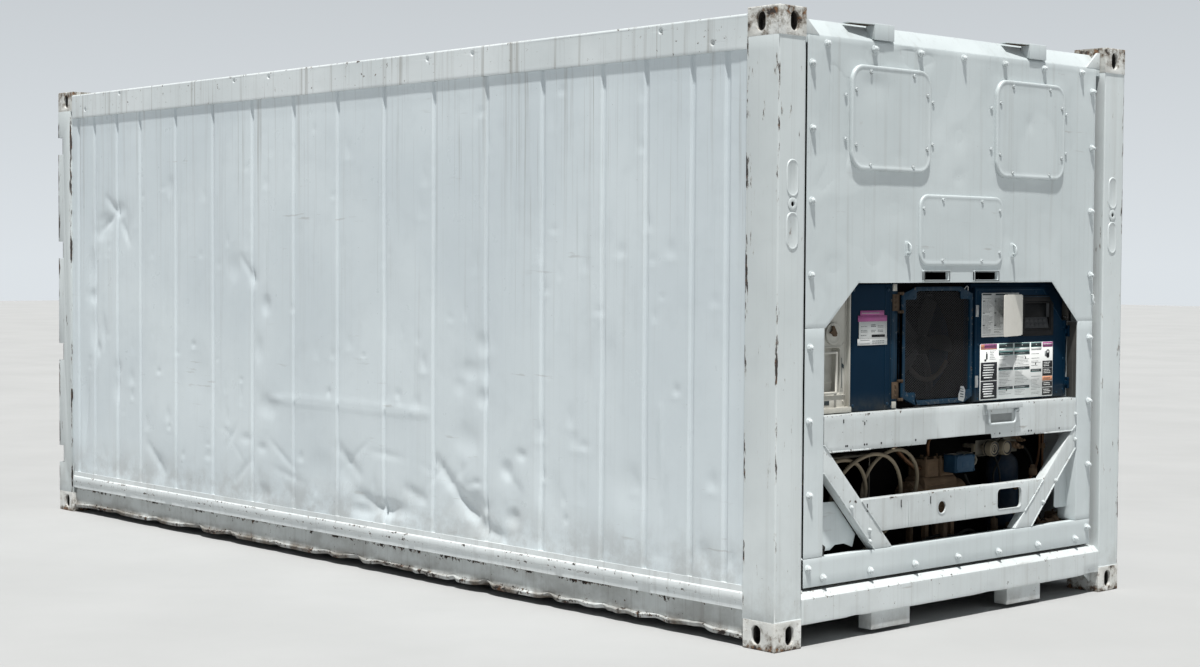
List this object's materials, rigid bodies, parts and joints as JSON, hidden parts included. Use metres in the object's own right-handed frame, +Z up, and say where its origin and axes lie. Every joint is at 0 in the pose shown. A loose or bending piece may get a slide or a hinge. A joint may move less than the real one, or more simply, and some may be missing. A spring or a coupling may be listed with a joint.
{
  "type": "refrigerated shipping container",
  "caption": "Short refrigerated freight container: insulated steel box on corner castings, with cooling machinery, hinged fan guard, control door and bolted frame in one end.",
  "frame": {"origin": "middle of the footprint at floor level", "axes": "+X along the length towards the machinery end, +Z up"},
  "size_m": [6.058, 2.438, 2.591],
  "materials": {
    "white_paint": "weathered white gloss paint",
    "casting_paint": "chipped paint over rusty cast steel",
    "underframe_paint": "dirty grey paint",
    "lining": "pale lining sheet",
    "aluminium": "extruded mill finish",
    "galvanised_steel": "galvanised",
    "black_rubber": "matt",
    "blue_enamel": "dark blue semi-gloss enamel",
    "terminal_blue": "mid blue enamel",
    "receiver_blue": "dark blue enamel",
    "beige_plastic": "aged beige",
    "cap_plastic": "aged beige",
    "dark_metal": "black coated wire and sheet",
    "fan_plastic": "dusty dark grey",
    "black_plastic": "satin",
    "rusty_hinge": "rust through blue paint",
    "bronze_paint": "brown paint on cast iron",
    "grey_enamel": "dirty grey",
    "cable_jacket": "pale beige rubber jacket",
    "plug_rubber": "black"
  },
  "bodies": {
    "container": {"corner_castings_bottom": "casting_paint", "corner_castings_top": "casting_paint", "front_corner_posts": "white_paint", "rear_frame": "white_paint", "top_side_rails": "white_paint", "bottom_side_rails": "white_paint", "front_header": "white_paint", "front_sill": "white_paint", "side_wall_left": "white_paint", "side_wall_right": "white_paint", "roof_panel": "white_paint", "floor_panel": "underframe_paint", "t_bar_floor": "aluminium", "cross_members": "underframe_paint", "front_bulkhead": "lining", "rear_door_left": "white_paint", "rear_door_right": "white_paint", "rear_door_gasket": "black_rubber", "door_hinges": "galvanised_steel", "lock_rods": "galvanised_steel", "upper_face_plate": "white_paint", "face_strips": "white_paint", "evaporator_housing": "lining", "access_panels": "white_paint", "generator_brackets": "white_paint", "side_cover": "blue_enamel", "vent_panel": "beige_plastic", "vent_handle": "beige_plastic", "guard_hinges": "rusty_hinge", "fan_shroud": "dark_metal", "condenser_coil": "dark_metal", "control_box": "blue_enamel", "upper_beam": "white_paint", "step_bracket": "white_paint", "diagonal_braces": "white_paint", "lower_beam": "white_paint", "machinery_tray": "underframe_paint", "compressor": "bronze_paint", "terminal_box": "terminal_blue", "liquid_receiver": "receiver_blue", "pressure_caps": "cap_plastic", "power_box": "grey_enamel", "cable_coil": "cable_jacket", "cable_tube": "cable_jacket", "cable_tail": "cable_jacket", "cable_plug": "plug_rubber"},
    "fan_guard": {"guard_frame": "blue_enamel", "guard_mesh": "dark_metal"},
    "fan_rotor": {"condenser_fan": "fan_plastic"},
    "control_door": {"control_door": "blue_enamel", "display_bezel": "black_plastic", "door_latches": "dark_metal"},
    "display_lid": {"display_lid": "beige_plastic"},
    "vent_disc": {"vent_disc": "beige_plastic"},
    "folding_step": {"folding_step": "white_paint"}
  },
  "joints": [
    {"name": "fan_guard_hinge", "type": "hinge", "parent": "container", "child": "fan_guard", "pos_m": [2.953, -0.343, 1.205], "axis": [0, 0, -1], "range_deg": [0, 100]},
    {"name": "condenser_fan_spin", "type": "hinge", "parent": "container", "child": "fan_rotor", "pos_m": [2.848, -0.082, 1.203], "axis": [1, 0, 0], "continuous": true},
    {"name": "control_door_hinge", "type": "hinge", "parent": "container", "child": "control_door", "pos_m": [2.953, 0.891, 1.2], "axis": [0, 0, 1], "range_deg": [0, 90]},
    {"name": "display_lid_hinge", "type": "hinge", "parent": "control_door", "child": "display_lid", "pos_m": [2.952, 0.524, 1.331], "axis": [0, 0, 1], "range_deg": [-6, 163]},
    {"name": "vent_disc_turn", "type": "hinge", "parent": "container", "child": "vent_disc", "pos_m": [2.934, -0.771, 1.27], "axis": [1, 0, 0], "range_deg": [0, 90]},
    {"name": "folding_step_hinge", "type": "hinge", "parent": "container", "child": "folding_step", "pos_m": [3.012, 0.301, 0.902], "axis": [0, -1, 0], "range_deg": [0, 90]}
  ]
}
